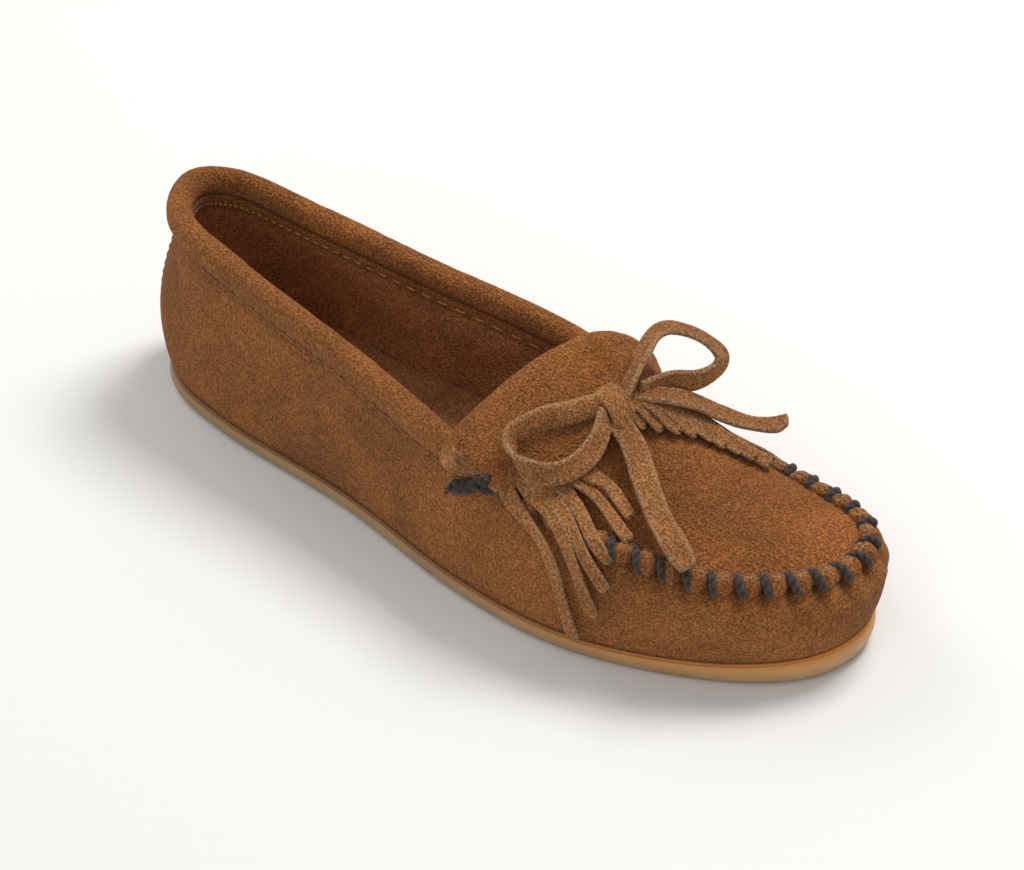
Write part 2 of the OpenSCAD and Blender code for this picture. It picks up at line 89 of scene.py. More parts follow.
class Socket:
    """An output socket that takes part in arithmetic; each operator adds one Math node."""

    def __init__(self, tree, socket):
        self.tree, self.socket = tree, socket

    def math(self, operation, a, b=0.0, clamp=False):
        return self.tree.node("ShaderNodeMath", {"operation": operation, "use_clamp": clamp}, {0: a, 1: b})

    def __add__(self, other):
        return self.math("ADD", self, other)

    def __radd__(self, other):
        return self.math("ADD", other, self)

    def __sub__(self, other):
        return self.math("SUBTRACT", self, other)

    def __rsub__(self, other):
        return self.math("SUBTRACT", other, self)

    def __mul__(self, other):
        return self.math("MULTIPLY", self, other)

    def __rmul__(self, other):
        return self.math("MULTIPLY", other, self)

    def step(self, low, high):
        """Smooth ramp from 0 at low to 1 at high."""
        return self.tree.node("ShaderNodeMapRange", {"interpolation_type": "SMOOTHSTEP"},
                              {"Value": self, "From Min": low, "From Max": high})

    def clip(self):
        """The value, kept between 0 and 1."""
        return self.math("ADD", self, clamp=True)

    def wave(self):
        return self.math("SINE", self)


class Finish:
    """A material and its node tree, with the Principled shader at self.skin."""

    def __init__(self, name, **uniform):
        self.material = bpy.data.materials.new(name)
        self.material.use_nodes = True
        self.nodes, self.links = self.material.node_tree.nodes, self.material.node_tree.links
        self.skin = self.nodes["Principled BSDF"]
        for socket, value in uniform.items():
            self.skin.inputs[socket.replace("_", " ")].default_value = value
        self.material.diffuse_color = (0.3, 0.15, 0.07, 1)

    def node(self, kind, settings=None, inputs=None, output=0):
        """Adds a node with its settings and inputs, and returns one of its outputs."""
        node = self.nodes.new(kind)
        for name, value in (settings or {}).items():
            setattr(node, name, value)
        for name, value in (inputs or {}).items():
            self.feed(node.inputs[name], value)
        return Socket(self, node.outputs[output])

    def feed(self, target, value):
        if isinstance(value, Socket):
            self.links.new(value.socket, target)
        elif isinstance(value, tuple) and len(value) == 3 and target.type == "RGBA":
            target.default_value = (*value, 1)
        else:
            target.default_value = value

    def set(self, **values):
        for name, value in values.items():
            self.feed(self.skin.inputs[name.replace("_", " ")], value)

    def place(self):
        return self.node("ShaderNodeTexCoord", output="Object")

    def axis(self, vector, index):
        return self.node("ShaderNodeSeparateXYZ", inputs={0: vector}, output=index)

    def twist(self, lay, turn):
        """A wave that winds round a thread: lay radians in a metre along it, turn radians once round."""
        uv = self.node("ShaderNodeTexCoord", output="UV")
        return (self.axis(uv, 0) * lay + self.axis(uv, 1) * turn).wave()

    def noise(self, vector, scale, detail=3.0, rough=0.5, distort=0.0):
        return self.node("ShaderNodeTexNoise", inputs={
            "Vector": vector, "Scale": scale, "Detail": detail, "Roughness": rough, "Distortion": distort})

    def stretch(self, vector, scale):
        return self.node("ShaderNodeMapping", inputs={"Vector": vector, "Scale": scale})

    def mix(self, share, a, b, how="MIX"):
        return self.node("ShaderNodeMix", {"data_type": "RGBA", "blend_type": how},
                         {0: share, 6: a, 7: b}, output=2)

    def bump(self, height, depth, strength=1.0):
        inputs = {"Height": height, "Distance": depth, "Strength": strength}
        return self.node("ShaderNodeBump", inputs=inputs)


def tint(red, green, blue):
    """A screen colour, 0 to 255 each, as linear light."""
    return tuple(c / 12.92 if c <= 0.04 else ((c + 0.055) / 1.055) ** 2.4
                 for c in (red / 255, green / 255, blue / 255))


floor = Finish("paper", Roughness=0.9)
cloud = floor.noise(floor.place(), 300.0) * 0.3
floor.set(Base_Color=floor.mix(cloud, (0.78, 0.78, 0.77), (0.81, 0.81, 0.80)))
bpy.ops.mesh.primitive_plane_add(size=6)
sweep = bpy.context.object
sweep.name = "paper_floor"
sweep.data.materials.append(floor.material)

# ---------------------------------------------------------------- Outsole
# A moulded rubber unit with a rounded wall, a toe that lifts off the floor, a rim underneath and
# bars of tread across the heel and the ball of the foot. It is cemented under the upper.
CENTRE = np.array([0, 3.7, 0])
up = np.array([0.0, 0.0, 1.0])
SOLE, TREAD, TOE_SPRING = 5.2, 1.2, 4.5
BALL, BALL_TO_TOE = 60, 65
NUDGE = 0.03      # a small step between stations, or in a share of height, for differences
# Stations around the shoe: 0 heel, 4 outer throat, 8 toe, 12 inner throat. Each row: sole edge x, y;
# the upper's top edge x, y, z; bulge low down and high up; how sharply the shoulder turns in.
STATIONS = np.array([
    [-125, 0, -117.2, 0, 65.4, 9, 1, 0.30], [-113, -19, -108, -15, 64.2, 7, 1, 0.30],
    [-85, -28, -81, -22, 61, 3.5, 1.5, 0.30], [-35, -33.5, -33, -29, 55, 2, 2, 0.30],
    [15, -44, 14, -37.5, 49, 2, 3, 0.25], [55, -45, 53, -39, 42.5, 3, 6, 0.18],
    [95, -32, 91, -29.5, 36, 4, 8, 0.15], [119, -14, 112, -11, 33.5, 5, 8, 0.15],
    [124.5, 8, 119, 6, 33, 5, 8, 0.15], [112, 26, 111.5, 19.5, 33.5, 5, 8, 0.15],
    [85, 37, 87, 22.5, 35, 4, 10, 0.15], [50, 41, 54, 16.5, 41.5, 3, 9, 0.18],
    [0, 31, 10, 26.5, 46, 2, 3, 0.25], [-50, 27, -46, 20.5, 53.5, 2, 2, 0.30],
    [-90, 29, -84, 16, 59, 3, 1.5, 0.30], [-114, 20, -108.5, 11.5, 63.2, 5, 1, 0.30]])


def unit(v):
    """Each vector divided by its length."""
    return v / np.maximum(np.linalg.norm(v, axis=-1, keepdims=True), 1e-9)


def smooth_curve(rows, t, closed=False):
    """Catmull-Rom curve through the rows at parameter t, a cubic through each four neighbours."""
    t = np.asarray(t, float)
    if closed:
        k = np.floor(t).astype(int)
        u = (t - k)[..., None]
        a, b, c, d = (rows[(k + i) % len(rows)] for i in (-1, 0, 1, 2))
    else:
        k = np.clip(np.floor(t).astype(int), 0, len(rows) - 2)
        u = (t - k)[..., None]
        longer = np.vstack([2 * rows[0] - rows[1], rows, 2 * rows[-1] - rows[-2]])
        a, b, c, d = (longer[k + i] for i in range(4))
    return 0.5 * (2 * b + (c - a) * u + (2 * a - 5 * b + 4 * c - d) * u ** 2
                  + (3 * b - a - 3 * c + d) * u ** 3)


def outward(t):
    """Level direction away from the shoe: the outline's tangent at station t, turned by a right angle."""
    d = smooth_curve(STATIONS[:, :2], t + NUDGE, True) - smooth_curve(STATIONS[:, :2], t - NUDGE, True)
    return unit(np.stack([d[..., 1], -d[..., 0], 0 * d[..., 0]], -1))


def sole_edge(t, inset, z):
    """The sole's outline at station t moved in by inset, at height z plus the toe spring, which grows
    as the square of the distance past the ball of the foot and is a quarter as much at the floor."""
    t, inset, z = np.broadcast_arrays(*(np.asarray(a, float) for a in (t, inset, z)))
    p = smooth_curve(STATIONS[:, :2], t, True)
    p = np.concatenate([p, 0 * p[..., :1]], -1) - outward(t) * inset[..., None]
    spring = TOE_SPRING * np.clip((p[..., 0] - BALL) / BALL_TO_TOE, 0, None) ** 2
    p[..., 2] = z + spring * (0.25 + 0.75 * np.minimum(1, z / SOLE))
    return p


def around(n):
    """The stations of n places, evenly spaced around the shoe."""
    return 16 * (np.arange(n) + 0.5) / n


def piece(name, skins, finish, slot, *nodes):
    """One object from closed skins. Each skin is (rings, closed, edge, shade): rings[row, column] are
    points whose columns go round; rows either close up or are capped by quads from column j to the
    opposite one. The UV map holds metres along and the share of the way round; edge and shade are
    vertex values: edge marks the pale cut edge of leather and, on the sole, painted light, and shade
    is painted shade in folds, grooves and under other parts. A skin whose signed volume is negative
    has its faces turned."""
    points, quads, places, cut_edges_and_painted_glows, painted_shades, total = [], [], [], [], [], 0
    for rings, closed, raw, painted_shade in skins:
        rings = (rings + CENTRE) * MM
        n, m = rings.shape[:2]
        i, j = np.meshgrid(np.arange(n if closed else n - 1), np.arange(m), indexing="ij")
        near, far, beside = i * m, (i + 1) % n * m, (j + 1) % m
        face = np.stack([near + j, near + beside, far + beside, far + j], -1)
        middle = rings.mean(1)
        run = np.append(0, np.cumsum(np.linalg.norm(np.roll(middle, -1, 0) - middle, axis=1)))
        corners = ((0, 0), (0, 1), (1, 1), (1, 0))
        place = np.stack([np.stack([run[i + a], (j + b) / m], -1) for a, b in corners], -2)
        face, place = face.reshape(-1, 4), place.reshape(-1, 4, 2)
        if not closed:
            j = np.arange(m // 2 - 1)
            start = np.stack([j + 1, j, m - 1 - j, m - 2 - j], -1)
            for cap in (start, start[:, ::-1] + (n - 1) * m):
                face = np.vstack([face, cap])
                place = np.concatenate([place, np.stack([run[cap // m], cap % m / m], -1)])
        flat = rings.reshape(-1, 3)
        a, b, c, d = (flat[face[:, k]] - flat[0] for k in range(4))
        if np.sum(a * (np.cross(b, c) + np.cross(c, d))) < 0:
            face, place = face[:, ::-1], place[:, ::-1]
        points.append(flat)
        quads.append(face + total)
        places.append(place)
        cut_edges_and_painted_glows.append(np.broadcast_to(raw, (n, m)).ravel())
        painted_shades.append(np.broadcast_to(painted_shade, (n, m)).ravel())
        total += n * m
    mesh = bpy.data.meshes.new(name)
    mesh.from_pydata(np.vstack(points).tolist(), [], np.vstack(quads).tolist())
    uv = np.concatenate(places).astype(np.float32).ravel()
    mesh.uv_layers.new(name="along").data.foreach_set("uv", uv)
    for title, value in (("raw", cut_edges_and_painted_glows), ("painted_shade", painted_shades)):
        layer = mesh.attributes.new(title, "FLOAT", "POINT")
        layer.data.foreach_set("value", np.concatenate(value).astype(np.float32))
    mesh.shade_smooth()
    mesh.materials.append(finish.material)
    made = bpy.data.objects.new(name, mesh)
    scene.collection.objects.link(made)
    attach(made, "root")
    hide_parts(*nodes)
    return made


rubber = Finish("tan_rubber", Roughness=0.42, Specular_IOR_Level=0.5, Subsurface_Weight=0.12,
                Subsurface_Scale=0.003)
place = rubber.place()
toe_side = rubber.axis(place, 0).step(0.0, 0.12)
clouds = rubber.noise(place, 45.0, 4)
specks = rubber.noise(place, 900.0, 3)
height = rubber.axis(place, 2)
# Painted light: the tan is painted lighter towards the toe, and the top of the wall, marked by the sole's
# vertex attribute, is painted amber, a little all round and most at the toe, standing in for light shining
# through the rubber.
painted_glow_share = rubber.node("ShaderNodeAttribute", {"attribute_name": "raw"}, output=2)
tan = rubber.mix(toe_side, tint(158, 128, 92), tint(192, 148, 98))
tan = rubber.mix(clouds.step(0.35, 0.7) * 0.35, tan, tint(132, 98, 66))
tan = rubber.mix(specks.step(0.55, 0.75) * 0.2, tan, tint(186, 152, 112))
tan = rubber.mix(painted_glow_share * (0.15 + 0.6 * toe_side), tan, tint(206, 138, 48))
# Painted shade: the lowest 1.6 mm of the rubber, where it meets the floor, is painted darker.
tan = rubber.mix((1 - height.step(0.0, 0.0016)) * 0.45, tan, tint(104, 82, 62))
rubber.set(Base_Color=tan, Roughness=0.34 + 0.2 * clouds,
           Normal=rubber.bump(specks * 0.5 + clouds, 0.25 * MM, 0.5))
# Rings of the rubber unit from its recess under the foot to its top: inset from the edge, and height
LEVELS = np.array([[5.4, TREAD], [5.1, 0.35], [4.7, 0], [2.2, 0], [1.6, 0.2], [1.0, 0.8], [0.4, 1.8],
                   [0.08, 2.7], [0, 3.3], [0.12, 4.0], [0.5, 4.7], [1.0, 5.1], [1.6, SOLE]])
sole_rings = np.stack([sole_edge(around(400), inset, z) for inset, z in LEVELS])
# Painted light: the rings from 3 mm up, the top of the wall, carry the painted amber.
painted_glow = np.clip((LEVELS[:, 1:] - 3.0) / 1.6, 0, 1)
# Each tread bar runs straight across; its front and back faces lean.
BAR_INSET = 5.6
heel_bars = [(first, 0.14) for first in np.arange(0.9, 2.2, 0.22)]
ball_bars = [(first, 0.13) for first in np.arange(3.6, 7, 0.2)]
drop = np.array([0.5, 0.0, 0.0, 0.0, 0.5])[:, None]
bars = []
for first, width in heel_bars + ball_bars:
    t = first + width * np.array([0, 0.12, 0.5, 0.88, 1])
    outer, inner = sole_edge(t, BAR_INSET, 0), sole_edge(16 - t, BAR_INSET, 0)
    ring = np.stack([outer + up * (TREAD + 0.2), outer + up * drop, inner + up * drop,
                     inner + up * (TREAD + 0.2)], 1)
    bars.append((ring, False, 0, 0))
piece("outsole_rubber", [(sole_rings, False, painted_glow, 0)] + bars, rubber, "sole", "outsole")

# ---------------------------------------------------------------- Crepe band
# A thin strip of amber crepe between sole and upper, glued to both; light passes through its edge,
# most of all around the toe.
crepe = Finish("amber_crepe", Roughness=0.34, Specular_IOR_Level=0.5, Subsurface_Weight=0.4,
               Subsurface_Scale=0.004)
place = crepe.place()
ripple = crepe.noise(place, 500.0, 3)
# Painted light: the crepe is painted lighter and more orange towards the toe, standing in for light passing
# through its edge.
amber = crepe.mix(crepe.axis(place, 0).step(-0.02, 0.12), tint(128, 84, 42), tint(196, 122, 48))
crepe.set(Base_Color=crepe.mix(ripple * 0.4, amber, tint(108, 62, 24)),
          Normal=crepe.bump(ripple, 0.2 * MM, 0.6))
CREPE = 1.0
band_rings = np.stack([sole_edge(around(400), inset, SOLE + z) for inset, z in
                       ((1.5, -0.05), (0.9, 0.05), (0.6, 0.4), (0.7, 0.8), (1.3, CREPE))])
piece("crepe_strip", [(band_rings, False, 0, 0)], crepe, "crepe", "crepe_band")

# ---------------------------------------------------------------- Insole board, foam pad and sock liner
# A fibre board closes the bottom of the upper; on it lie a soft foam pad and a glued suede liner.
# The pad is swollen with a short cloth simulation, so it is crowned and its edge is rounded.
board = Finish("fibre_board", Roughness=0.9)
flecks = board.noise(board.stretch(board.place(), (1.0, 3.0, 1.0)), 420.0, 4, 0.7)
board.set(Base_Color=board.mix(flecks, tint(172, 150, 116), tint(208, 190, 158)),
          Normal=board.bump(flecks, 0.15 * MM))
BOARD, FOAM, LINER = 1.6, 3.0, 1.0


def dress(node, finish):
    """Gives a finish to a node that no visual piece replaces."""
    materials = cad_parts[node].data.materials
    materials.clear()
    materials.append(finish.material)


dress("insole_board", board)


def puff(soft, pressure, most, shrink=0.0, pinned=None):
    """Pinned points stay where they are."""
    mesh = soft.data
    rest = np.empty(len(mesh.vertices) * 3)
    mesh.vertices.foreach_get("co", rest)
    rest = rest.reshape(-1, 3)
    cloth = soft.modifiers.new("Cloth", "CLOTH")
    cloth.settings.use_pressure = True
    cloth.settings.uniform_pressure_force = pressure
    cloth.settings.effector_weights.gravity = 0
    cloth.settings.shrink_min = shrink
    cloth.settings.quality = 6
    cloth.collision_settings.use_collision = False
    cloth.point_cache.frame_start, cloth.point_cache.frame_end = 1, 20
    if pinned is not None:
        group = soft.vertex_groups.new(name="sewn")
        group.add(np.flatnonzero(pinned).tolist(), 1.0, "REPLACE")
        cloth.settings.vertex_group_mass = "sewn"
    for frame_number in range(1, 21):
        scene.frame_set(frame_number)
    puffed = np.empty_like(rest).ravel()
    soft.evaluated_get(bpy.context.evaluated_depsgraph_get()).data.vertices.foreach_get("co", puffed)
    move = puffed.reshape(-1, 3) - rest
    length = np.linalg.norm(move, axis=1, keepdims=True)
    move *= np.minimum(1, most * MM / np.maximum(length, 1e-9))
    soft.modifiers.remove(cloth)
    mesh.vertices.foreach_set("co", (rest + move).ravel())
    mesh.update()
    scene.frame_set(1)


def rounded(made):
    """Rounds a piece by one level of subdivision."""
    rounding = made.modifiers.new("rounding", "SUBSURF")
    rounding.levels = rounding.render_levels = 1


foam = Finish("open_foam", Roughness=0.95)
cells = foam.node("ShaderNodeTexVoronoi", inputs={"Vector": foam.place(), "Scale": 900.0})
foam.set(Base_Color=foam.mix(cells.step(0.1, 0.5), tint(190, 176, 148), tint(226, 216, 190)),
         Normal=foam.bump(cells, 0.3 * MM))
low = SOLE + CREPE + BOARD
pad_rings = np.stack([sole_edge(around(200), inset, low + z) for inset, z in
                      ((5.4, 0.1), (4.6, 0.7), (4.4, FOAM / 2), (4.6, FOAM - 0.7), (5.4, FOAM - 0.1))])
pad = piece("foam_pad", [(pad_rings, False, 0, 0)], foam, "foam", "insole_foam")
solid = pad.modifiers.new("even_faces", "REMESH")
solid.mode, solid.voxel_size = "VOXEL", 2 * MM
bpy.context.view_layer.update()
even = bpy.data.meshes.new_from_object(pad.evaluated_get(bpy.context.evaluated_depsgraph_get()))
pad.modifiers.remove(solid)
pad.data = even
puff(pad, 4.0, 0.5)
pad.data.shade_smooth()
rounded(pad)


def suede(name, dark, light, pale, nap=1.0, sheen=0.18):
    """Brushed suede: broad patches where the nap lies another way, a finer mottle, and a felted grain of
    tufts under a millimetre that also lifts the surface. One vertex attribute shows the pale cut edge,
    the other darkens folds, grooves and hollows with painted shade."""
    hide = Finish(name, Roughness=0.93, Specular_IOR_Level=0.2, Sheen_Weight=sheen, Sheen_Roughness=0.4,
                  Sheen_Tint=(1.0, 0.62, 0.34, 1.0))
    place = hide.place()
    patches = hide.noise(place, 30.0, 4, 0.6, 0.5)
    mottle = hide.noise(place, 210.0, 3, 0.6)
    tufts = hide.noise(place, 1350.0, 1, 0.5)
    fuzz = hide.noise(hide.stretch(place, (1.0, 1.3, 0.8)), 2900.0, 1, 0.5)
    colour = hide.mix(patches.step(0.32, 0.68), dark, light)
    grey = 0.48 + 0.08 * mottle.step(0.32, 0.68) + 0.80 * tufts.step(0.36, 0.66) \
        + 0.50 * fuzz.step(0.36, 0.68)
    shade = hide.node("ShaderNodeCombineXYZ", inputs={0: grey, 1: grey, 2: grey})
    colour = hide.mix(1.0, colour, shade, "MULTIPLY")
    # Painted shade: the second vertex attribute darkens the colour towards a deep brown in folds, grooves and
    # hollows.
    fold_shade = hide.node("ShaderNodeAttribute", {"attribute_name": "painted_shade"}, output=2)
    colour = hide.mix(fold_shade.clip(), colour, tuple(c * 0.22 for c in dark))
    cut = hide.node("ShaderNodeAttribute", {"attribute_name": "raw"}, output=2)
    fray = (cut * (0.25 + 1.1 * tufts.step(0.35, 0.65))).clip() * 0.75
    colour = hide.mix(fray, colour, hide.mix(fuzz, tuple(c * 0.6 for c in pale), pale))
    hide.set(Base_Color=colour, Roughness=0.86 + 0.12 * tufts,
             Normal=hide.bump(tufts + fuzz * 0.45 + mottle * 0.6, 1.9 * nap * MM, 1.0))
    return hide


# Painted light: the lining is the same brown suede as the outside, painted lighter so that the shaded inside
# of the shoe looks less dark.
lining_suede_painted_lighter = suede("lining_suede_painted_lighter", tint(156, 100, 60), tint(184, 126, 80), tint(176, 134, 96), 0.8, 0.1)
low += FOAM - 0.1
liner_rings = np.stack([sole_edge(around(400), inset, low + z) for inset, z in
                        ((4.6, 0), (4.2, 0.3), (4.2, 0.7), (4.7, LINER), (7, LINER + 0.25),
                         (12, LINER + 0.45))])
piece("sock_liner_suede", [(liner_rings, False, 0, 0)], lining_suede_painted_lighter, "lining", "sock_liner")

# ---------------------------------------------------------------- Wrap
# One piece of suede forms sides, toe and heel. It is lasted under at the sole and gathered into
# small pleats where the apron is stitched in, deepest around the toe.
SUEDE = 1.4
STITCHES = 27


def wall(t, s):
    """The side at station t and height share s: a cubic Bezier from the sole's edge, out by the low
    bulge, in by the high bulge at the shoulder, to the top edge."""
    t, s = np.broadcast_arrays(np.asarray(t, float), np.asarray(s, float))
    row, n, s = smooth_curve(STATIONS, t, True), outward(t), s[..., None]
    a, d = sole_edge(t, 1.2, SOLE + CREPE), row[..., 2:5]
    rise = (d[..., 2:] - a[..., 2:]) * up
    b, c = a + n * row[..., 5:6] + rise * 0.4, d + n * row[..., 6:7] - rise * row[..., 7:8]
    return (1 - s) ** 3 * a + 3 * s * (1 - s) ** 2 * b + 3 * s * s * (1 - s) * c + s ** 3 * d


def wall_normal(t, s):
    """Outward normal of the side: the cross product of its two small differences."""
    return unit(np.cross(wall(t + NUDGE, s) - wall(t - NUDGE, s),
                         wall(t, np.minimum(s + NUDGE, 1)) - wall(t, np.maximum(s - NUDGE, 0))))


def facing(t):
    """The inner-side station across the apron from outer-side station t."""
    return 16 - t - 0.14 * np.clip(8 - t, 0, None)


def any_share(number):
    """A fixed but irregular share between 0 and 1 for each whole number."""
    return np.mod(np.sin(np.asarray(number) * 12.9898 + 4.1) * 43758.5453, 1.0)


def ease(x, low, high):
    """Smooth step: 0 below low, 1 above high, a cubic between."""
    k = np.clip((x - low) / (high - low), 0, 1)
    return k * k * (3 - 2 * k)


# The apron seam runs from the outer throat round the toe to the inner throat.
SEAM_START = 4.3
seam_t = np.linspace(SEAM_START, facing(SEAM_START), 400)
seam_run = np.append(0, np.cumsum(np.linalg.norm(np.diff(wall(seam_t, 1), axis=0), axis=1)))


def seam_share(t):
    """Share of the apron seam's length at station t."""
    return np.interp(t, seam_t, seam_run / seam_run[-1])


def seam_station(share):
    """Station at a share of the apron seam's length."""
    return np.interp(share * seam_run[-1], seam_run, seam_t)


def stitched(share):
    """How near a share of the seam's length is to a stitch: 1 at a stitch, 0 midway between two."""
    return 0.5 - 0.5 * np.cos(2 * np.pi * share * STITCHES)


def pleat(t):
    """How far the wrap is gathered in at station t: 0 on the crown of a pleat, 1 at a stitch."""
    inside = ease(t, 4.1, 4.6) * (1 - ease(t, facing(4.6), facing(4.1)))
    return stitched(seam_share(t)) ** 1.6 * inside


def side_top(t):
    """The wrap's top as a share of the side's height: behind the throat it ends inside the collar."""
    return 1 - 0.1 * np.clip((np.abs(t - 7.8) - 3.7) / 0.5, 0, 1)


t = around(1080)[:, None]
s = side_top(t) * np.linspace(0, 1, 31)[None] ** 0.9
outer, normal = wall(t, s), wall_normal(t, s)
which = np.round(seam_share(t) * STITCHES)
toe_near = ease(t, 5.6, 7.4) * (1 - ease(t, 8.8, 10.4))
reach = 0.70 - 0.22 * toe_near - 0.10 * any_share(which)
fade = np.clip((s - reach) / (1 - reach), 0, 1) ** 1.3
gather = pleat(t) * fade
depth = 1.2 + 1.3 * toe_near
soft = 0.35 * np.sin(2.1 * t + 3 * s) + 0.22 * np.sin(5.3 * t - 4 * s + 1)
move = (0.35 - gather) * depth * ease(fade, 0, 0.15) + soft * np.sin(np.pi * s) * (1 - fade)
outer = outer + normal * move[..., None]
inner = wall(t, s) - normal * SUEDE
rings = np.concatenate([outer, inner[:, ::-1]], 1)
# Painted shade: the pleats are painted darker towards each stitch, and a dark band is painted along the foot
# of the side, where it meets the sole.
dark = np.concatenate([0.95 * gather ** 1.2, 0 * gather], 1)
dark += np.concatenate([0.35 * (1 - ease(s, 0, 0.05)), 0 * s], 1)
brown_suede = suede("brown_suede", tint(132, 79, 37), tint(160, 98, 47), tint(206, 160, 116))
piece("suede_wrap", [(rings, True, 0, dark)], brown_suede, "suede", "vamp_wrap")

# ---------------------------------------------------------------- Lining and heel counter
# The quarters are lined with thin split suede from throat to throat. A stiff fibre counter is
# glued between lining and wrap around the heel.
COUNTER, LINING = 1.0, 0.8


def leaf(middle, thick, ends=False):
    """A sheet of leather: its middle surface moved half the thickness to each side along the normal,
    with rounded edges. Also returns where the cut edge shows pale."""
    across = np.gradient(middle, axis=1)
    normal = unit(np.cross(np.gradient(middle, axis=0), across))
    top, under = middle + normal * thick / 2, middle - normal * thick / 2
    first = middle[:, :1] - unit(across[:, :1]) * thick * 0.35
    final = middle[:, -1:] + unit(across[:, -1:]) * thick * 0.35
    rings = np.concatenate([first, top, final, under[:, ::-1]], 1)
    raw = np.zeros(rings.shape[:2])
    m = middle.shape[1]
    raw[:, [0, m + 1]] = 1
    raw[:, [1, m, m + 2, 2 * m + 1]] = 0.6
    if ends:
        raw[-1], raw[-2] = 1, 0.5
    return rings, raw


t = np.linspace(11.55, 19.9, 420)[:, None]
s = 0.02 + (side_top(t % 16) - 0.02) * np.linspace(0, 1, 26)[None]
sag = 0.25 * np.sin(4 * t + 5 * s) * np.sin(np.pi * s)
lining_middle = wall(t, s) + wall_normal(t, s) * (sag - SUEDE - COUNTER - LINING / 2)[..., None]
rings, raw = leaf(lining_middle, LINING)
piece("quarter_lining_suede", [(rings, False, raw, 0)], lining_suede_painted_lighter, "lining", "quarter_lining")
dress("heel_counter", board)

# ---------------------------------------------------------------- Heel backstay
# A narrow suede strap covers the back seam. It is sewn down with one row of stitches near each edge.
MACHINE_THREAD = 0.5


def strap_half(s):
    """Half the strap's width, in stations, at height share s."""
    return 0.42 - 0.16 * (s - 0.03) / 0.71


s, across = np.linspace(0.02, 0.76, 60)[:, None], np.linspace(-1, 1, 17)
t = 16 + strap_half(s) * across
strap_middle = wall(t, s) + wall_normal(t, s) * (0.6 - 0.4 * np.abs(across)[:, None] ** 6)
rings, raw = leaf(strap_middle, 1.3)
piece("backstay_strap", [(rings, False, raw * 0.6, 0)], brown_suede, "suede", "heel_backstay")

thread = Finish("brown_thread", Roughness=0.75, Specular_IOR_Level=0.3, Sheen_Weight=0.2)
twist = thread.twist(9000.0, 12.6)
# Painted shade and light: the thread is painted dark in the groove between its two plies and light on their
# crowns, besides the bump.
thread.set(Base_Color=thread.mix(twist * 0.5 + 0.5, tint(112, 76, 42), tint(172, 128, 84)),
           Normal=thread.bump(twist, 0.1 * MM, 0.7))


def stitches(start, finish, rise, width, sink=0.15):
    """One thread bar per stitch, an arch of five rings of six points from start to finish: the height
    follows a half sine, and each ring is an ellipse across the stitch."""
    u = np.linspace(0, 1, 5)[None, :, None]
    line = start[:, None] * (1 - u) + finish[:, None] * u + rise[:, None] * (np.sin(np.pi * u) * 0.45 - sink)
    side = unit(np.cross(finish - start, rise))[:, None, None]
    high = unit(rise)[:, None, None]
    a = np.arange(6)[:, None] * np.pi / 3
    plump = np.array([0.6, 1, 1, 1, 0.6])[:, None, None] * width / 2
    rings = line[:, :, None] + (side * np.cos(a) + high * np.sin(a)) * plump
    return [(ring, False, 0, 0) for ring in rings]


i = np.repeat(np.arange(12), 2)
s = 0.06 + 0.62 * i / 11
t = 16 + np.tile([-1, 1], 12) * strap_half(s) * 0.8
ends = [wall(t, share) + wall_normal(t, share) * 1.1 for share in (s, s + 0.035)]
piece("backstay_thread", stitches(*ends, wall_normal(t, s) * 0.15, MACHINE_THREAD), thread,
      "stitching", "backstay_stitches")

# ---------------------------------------------------------------- Rolled collar
# A strip of suede is folded over a soft filling and the lace, turned in over the quarters' top edge
# and sewn through twice outside and once inside. The filled roll is swollen by a cloth simulation.
COLLAR = (11.52, 20.05)
# The roll's section: up the outside, over, down the inside, and back along the skin's inner face
CUFF = np.array([
    [0.5, -9.0], [1.15, -8.8], [1.5, -8.2], [1.05, -7.6], [1.05, -7.3], [1.6, -6.9], [1.7, -6.3],
    [1.25, -5.9], [1.3, -5.5], [2.05, -4.9], [2.9, -3.8], [3.5, -2.5], [3.8, -1.0], [3.8, 0.8],
    [3.2, 2.4], [2.2, 3.6], [0.8, 4.3], [-0.8, 4.3], [-2.2, 3.6], [-3.2, 2.4], [-3.8, 0.8],
    [-4.1, -0.6], [-4.15, -1.9], [-3.85, -2.9], [-3.65, -3.3], [-4.1, -3.9], [-4.2, -5.4],
    [-4.15, -6.5], [-3.85, -7.0], [-4.15, -7.5], [-4.05, -9.0], [-3.4, -9.1], [-3.35, -6.0],
    [-3.25, -3.2], [-2.9, -0.8], [-2.4, 1.0], [-1.2, 2.6], [0, 3.0], [1.2, 2.6], [2.4, 1.0],
    [2.9, -0.8], [2.3, -3.0], [1.1, -4.4], [0.4, -5.8], [0.2, -7.0], [0.15, -8.2]])


def collar_station(k):
    """Station at share k of the roll's length, from its inner end to its outer end."""
    return (COLLAR[0] + (COLLAR[1] - COLLAR[0]) * k) % 16


def collar_points(k, section):
    """Points of the roll: outward from the top edge, and up; below the edge they follow the side wall
    instead, at the share of its height found from the wall's slope there. Both ends narrow."""
    t = collar_station(k)
    size = (0.72 + 0.28 * np.clip(np.minimum(k, 1 - k) * 25, 0, 1))[:, None]
    row = smooth_curve(STATIONS, t, True)
    slope = (3 * row[:, 7] * (row[:, 4] - SOLE - CREPE))[:, None]
    out, high = section[..., 0] * size, section[..., 1] * size
    return wall(t[:, None], 1 + np.minimum(0, high) / slope) + outward(t)[:, None] * out[..., None] \
        + up * np.maximum(0, high)[..., None]


